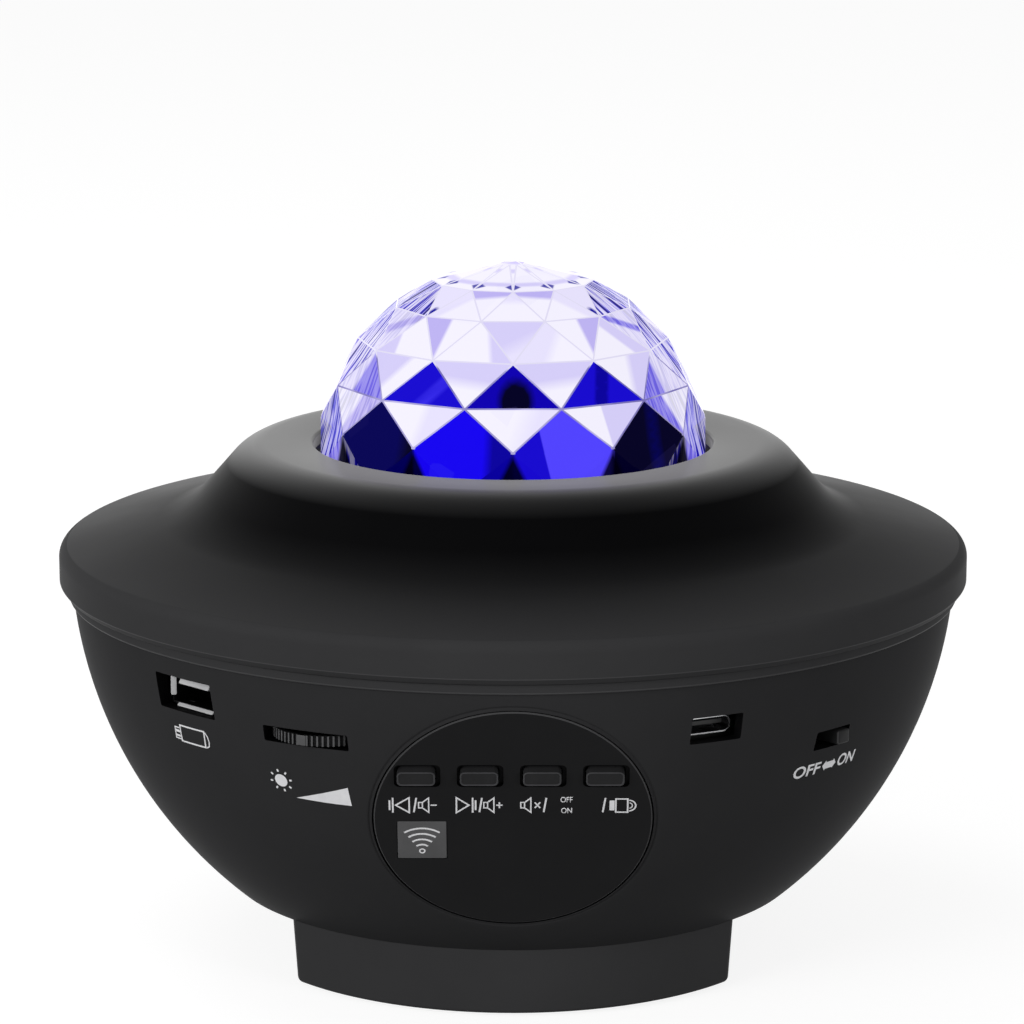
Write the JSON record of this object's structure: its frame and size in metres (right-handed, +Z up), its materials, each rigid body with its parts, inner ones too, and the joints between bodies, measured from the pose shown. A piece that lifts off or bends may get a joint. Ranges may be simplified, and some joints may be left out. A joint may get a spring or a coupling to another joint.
{
  "type": "star night light projector",
  "caption": "Bowl-shaped tabletop star projector with a flared cap, a faceted dome, push buttons, a brightness dial, a power switch and a built-in speaker.",
  "frame": {"origin": "on the surface that the feet stand on, under the middle of the object", "axes": "+Z up along the axis of the dome, -Y towards the front with the control panel, +X to the right seen from the front"},
  "size_m": [0.168, 0.168, 0.1271],
  "materials": {
    "housing_black": "satin moulded ABS with a fine spark texture",
    "foot_rubber": "matt rubber",
    "dome_violet": "clear violet polycarbonate with flat facets",
    "inner_white": "matt white moulded plastic",
    "gear_plastic": "natural acetal",
    "clear_lens": "clear acrylic",
    "steel": "zinc plated",
    "motor_metal": "plated sheet steel",
    "board_white": "white solder mask on aluminium",
    "led_yellow": "phosphor and clear silicone",
    "cooling_aluminium": "extruded, natural",
    "laser_brass": "turned brass",
    "board_green": "green solder mask",
    "chip_black": "moulded resin",
    "socket_metal": "plated steel shell",
    "socket_white": "moulded nylon",
    "contact_gold": "gold flash",
    "dial_base_blue": "blue moulded resin",
    "dial_black": "satin ABS with pressed grooves",
    "knob_black": "satin ABS",
    "panel_black": "smooth satin plate with pale printed signs",
    "window_grey": "smoked infrared plastic",
    "button_black": "satin ABS",
    "receiver_dark": "dark epoxy",
    "speaker_steel": "grey painted pressed steel",
    "magnet_dark": "black ferrite",
    "cone_paper": "pressed paper",
    "surround_rubber": "soft rubber"
  },
  "bodies": {
    "housing": {"base_stand": "housing_black", "speaker_grille": "housing_black", "rubber_feet": "foot_rubber", "base_screws": "steel", "lower_housing": "housing_black", "top_cover": "housing_black", "housing_screws": "steel", "dome": "dome_violet", "dome_ring": "inner_white", "dome_ring_screws": "steel", "lamp_deck": "inner_white", "deck_screws": "steel", "light_tube": "inner_white", "small_screws": "steel", "lens_motor": "motor_metal", "led_board": "board_white", "leds": "led_yellow", "led_lens": "clear_lens", "led_heat_sink": "cooling_aluminium", "laser_module": "laser_brass", "laser_block": "cooling_aluminium", "laser_grating": "clear_lens", "main_board": "board_green", "board_chips": "chip_black", "board_screws": "steel", "usb_shell": "socket_metal", "usb_core": "socket_white", "usb_contacts": "contact_gold", "charge_shell": "socket_metal", "charge_core": "chip_black", "dial_base": "dial_base_blue", "switch_body": "socket_metal", "control_panel": "panel_black", "receiver_window": "window_grey", "button_board": "board_green", "button_board_screws": "steel", "key_switches": "chip_black", "infrared_receiver": "receiver_dark", "speaker_frame": "speaker_steel", "speaker_magnet": "magnet_dark", "speaker_surround": "surround_rubber", "speaker_gasket": "surround_rubber", "speaker_screws": "steel"},
    "lens": {"lens_gear": "gear_plastic", "ripple_lens": "clear_lens"},
    "pinion": {"drive_pinion": "gear_plastic", "motor_shaft": "steel"},
    "dial": {"dial_wheel": "dial_black"},
    "power_knob": {"switch_knob": "knob_black"},
    "speaker_cone": {"speaker_cone": "cone_paper"},
    "button_1": {"button_1": "button_black", "plunger_1": "socket_white"},
    "button_2": {"button_2": "button_black", "plunger_2": "socket_white"},
    "button_3": {"button_3": "button_black", "plunger_3": "socket_white"},
    "button_4": {"button_4": "button_black", "plunger_4": "socket_white"}
  },
  "joints": [
    {"name": "lens_spin", "type": "hinge", "parent": "housing", "child": "lens", "pos_m": [0, 0, 0.07275], "axis": [0, 0, 1], "continuous": true},
    {"name": "pinion_spin", "type": "hinge", "parent": "housing", "child": "pinion", "pos_m": [0, 0.041, 0.07275], "axis": [0, 0, 1], "continuous": true},
    {"name": "dial_turn", "type": "hinge", "parent": "housing", "child": "dial", "pos_m": [-0.0318, -0.06403, 0.05625], "axis": [0, 0, 1], "range_deg": [-135, 135]},
    {"name": "power_slide", "type": "slide", "parent": "housing", "child": "power_knob", "axis": [0.7083, 0.7059, 0], "range_m": [-0.004, 0]},
    {"name": "cone_stroke", "type": "slide", "parent": "housing", "child": "speaker_cone", "axis": [0, 0, 1], "range_m": [-0.0008, 0.0008], "stiffness_N_per_m": 900, "deforming": ["speaker_surround"]},
    {"name": "button_1_press", "type": "slide", "parent": "housing", "child": "button_1", "axis": [0, 0.907, 0.421], "range_m": [0, 0.0005], "stiffness_N_per_m": 900},
    {"name": "button_2_press", "type": "slide", "parent": "housing", "child": "button_2", "axis": [0, 0.907, 0.421], "range_m": [0, 0.0005], "stiffness_N_per_m": 900},
    {"name": "button_3_press", "type": "slide", "parent": "housing", "child": "button_3", "axis": [0, 0.907, 0.421], "range_m": [0, 0.0005], "stiffness_N_per_m": 900},
    {"name": "button_4_press", "type": "slide", "parent": "housing", "child": "button_4", "axis": [0, 0.907, 0.421], "range_m": [0, 0.0005], "stiffness_N_per_m": 900}
  ],
  "couplings": [
    {"joint": "pinion_spin", "follows": "lens_spin", "ratio": -4.125}
  ]
}
